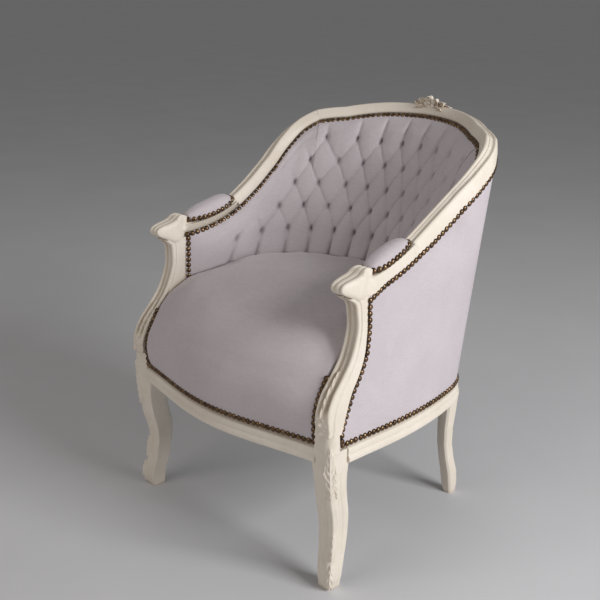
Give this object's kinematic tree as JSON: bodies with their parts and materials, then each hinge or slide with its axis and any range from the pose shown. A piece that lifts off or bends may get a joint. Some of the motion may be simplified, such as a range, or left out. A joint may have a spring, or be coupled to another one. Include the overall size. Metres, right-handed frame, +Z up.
{
  "type": "tub armchair",
  "caption": "Low-backed tub armchair with a carved painted frame, tufted horseshoe back, domed seat, padded arms and curved legs.",
  "frame": {"origin": "on the floor, under the centre of the chair's bounding box", "axes": "+Z up; the front of the chair faces -Y; +X to the right of a viewer who faces the chair's front"},
  "size_m": [0.6054, 0.6566, 0.8337],
  "materials": {
    "painted_wood": "off-white matte paint over carved wood",
    "bare_wood": "unpainted beech",
    "upholstery_cloth": "matte lilac-grey linen",
    "cover_cloth": "matte pale lilac-grey linen",
    "webbing": "woven jute webbing",
    "hessian": "plain woven hessian",
    "stuffing": "seat stuffing",
    "dust_cloth": "black dust cloth"
  },
  "bodies": {
    "root": {"front_leg_left": "painted_wood", "front_leg_right": "painted_wood", "rear_leg_left": "painted_wood", "rear_leg_right": "painted_wood", "front_rail": "painted_wood", "side_rail_left": "painted_wood", "side_rail_right": "painted_wood", "rear_rail": "painted_wood", "corner_block_front_left": "bare_wood", "corner_block_front_right": "bare_wood", "corner_block_rear_left": "bare_wood", "corner_block_rear_right": "bare_wood", "arm_post_left": "painted_wood", "arm_post_right": "painted_wood", "arm_left": "painted_wood", "arm_right": "painted_wood", "top_rail_left": "painted_wood", "top_rail_right": "painted_wood", "crest_rail": "painted_wood", "crest_carving": "painted_wood", "tacking_rail_left": "bare_wood", "tacking_rail_right": "bare_wood", "tacking_rail_back": "bare_wood", "webbing_lengthways": "webbing", "webbing_crossways": "webbing", "seat_hessian": "hessian", "seat_pad": "stuffing", "seat_cover": "upholstery_cloth", "tufted_back": "upholstery_cloth", "back_lining": "hessian", "arm_pad_left": "cover_cloth", "arm_pad_right": "cover_cloth", "outer_cover_left": "cover_cloth", "outer_cover_right": "cover_cloth", "outer_cover_back": "cover_cloth", "dust_cover": "dust_cloth"}
  },
  "joints": []
}
